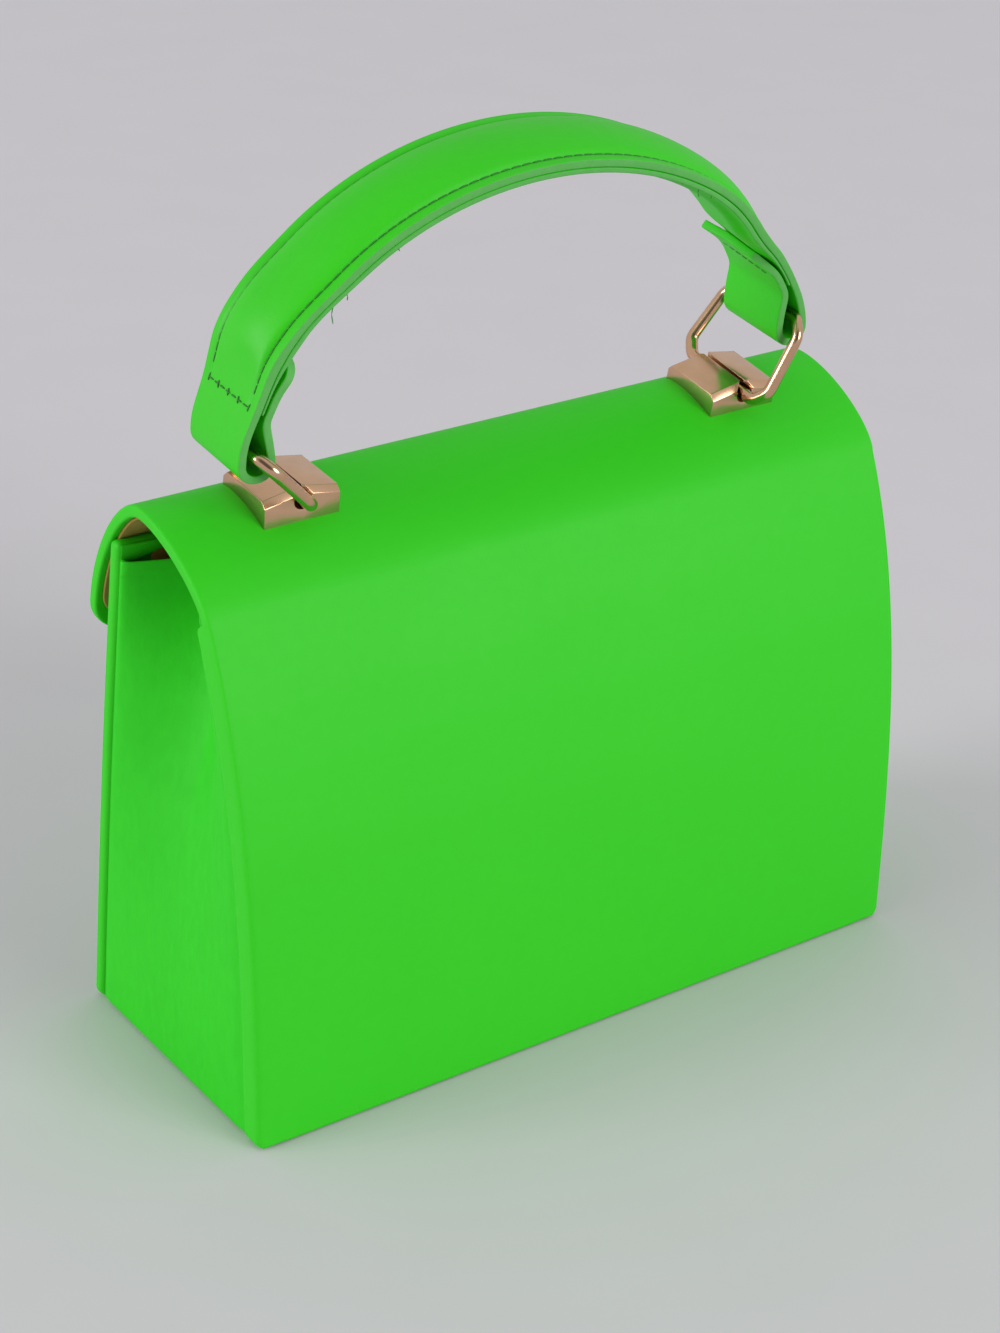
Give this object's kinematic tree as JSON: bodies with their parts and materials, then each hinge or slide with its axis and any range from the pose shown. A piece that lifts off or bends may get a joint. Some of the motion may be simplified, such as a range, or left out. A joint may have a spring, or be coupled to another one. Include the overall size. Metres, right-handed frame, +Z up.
{
  "type": "top-handle bag",
  "caption": "Structured mini top-handle bag in smooth green leather: a stiff box with a fold-over flap, folding gussets and a padded arched handle on polished gold rings.",
  "frame": {"origin": "centre of the base's resting face, on the floor", "axes": "+Z up, +Y towards the back panel, so the flap hangs over the -Y front; +X along the width, to the right as seen from the front"},
  "size_m": [0.2, 0.084, 0.2364],
  "materials": {
    "green_leather": "smooth semi-matt grain",
    "strap_leather": "smooth semi-matt grain",
    "tan_suede": "brushed suede",
    "grey_board": "raw pressed board",
    "gold_plate": "polished light gold plate",
    "steel": "plain",
    "foam": "open foam"
  },
  "bodies": {
    "body": {"base_cover": "green_leather", "base_board": "grey_board", "base_lining": "tan_suede", "back_cover": "green_leather", "back_board": "grey_board", "back_lining": "tan_suede", "front_cover": "green_leather", "front_board": "grey_board", "front_magnet": "steel", "front_lining": "tan_suede", "front_facing": "green_leather", "gusset_left": "green_leather", "gusset_lining_left": "tan_suede", "gusset_right": "green_leather", "gusset_lining_right": "tan_suede"},
    "flap": {"flap_cover": "green_leather", "flap_board": "grey_board", "flap_lining": "tan_suede", "flap_magnet": "steel", "saddle_left": "gold_plate", "saddle_right": "gold_plate", "saddle_screw_left_outer": "steel", "saddle_screw_left_inner": "steel", "saddle_screw_right_outer": "steel", "saddle_screw_right_inner": "steel", "saddle_washer_left_outer": "steel", "saddle_washer_left_inner": "steel", "saddle_washer_right_outer": "steel", "saddle_washer_right_inner": "steel"},
    "ring_left": {"ring_left": "gold_plate"},
    "ring_right": {"ring_right": "gold_plate"},
    "handle_left": {"handle_strap_left": "strap_leather", "handle_core_left": "foam", "handle_underside_left": "strap_leather"},
    "handle_right": {"handle_strap_right": "strap_leather", "handle_core_right": "foam", "handle_underside_right": "strap_leather"}
  },
  "joints": [
    {"name": "flap_hinge", "type": "hinge", "parent": "body", "child": "flap", "pos_m": [0, 0.024, 0.1345], "axis": [-1, 0, 0], "range_deg": [0, 110]},
    {"name": "handle_lift", "type": "hinge", "parent": "flap", "child": "ring_right", "pos_m": [0.0662, 0.00094, 0.1531], "axis": [0, -0.9781, 0.2079], "range_deg": [0, 30]},
    {"name": "ring_left_hinge", "type": "hinge", "parent": "flap", "child": "ring_left", "pos_m": [-0.0662, 0.00094, 0.1531], "axis": [0, 0.9781, -0.2079], "range_deg": [0, 30]},
    {"name": "handle_right_loop", "type": "hinge", "parent": "ring_right", "child": "handle_right", "pos_m": [0.08232, 0.00436, 0.16914], "axis": [0, -0.9781, 0.2079], "range_deg": [-41, 0]},
    {"name": "handle_crown_flex", "type": "hinge", "parent": "handle_right", "child": "handle_left", "pos_m": [0.01169, 0.01637, 0.22565], "axis": [0, -0.9781, 0.2079], "range_deg": [0, 20.5]}
  ],
  "couplings": [
    {"joint": "ring_left_hinge", "follows": "handle_lift", "ratio": 1},
    {"joint": "handle_right_loop", "follows": "handle_lift", "ratio": -1.3409},
    {"joint": "handle_crown_flex", "follows": "handle_lift", "ratio": 0.66609}
  ]
}
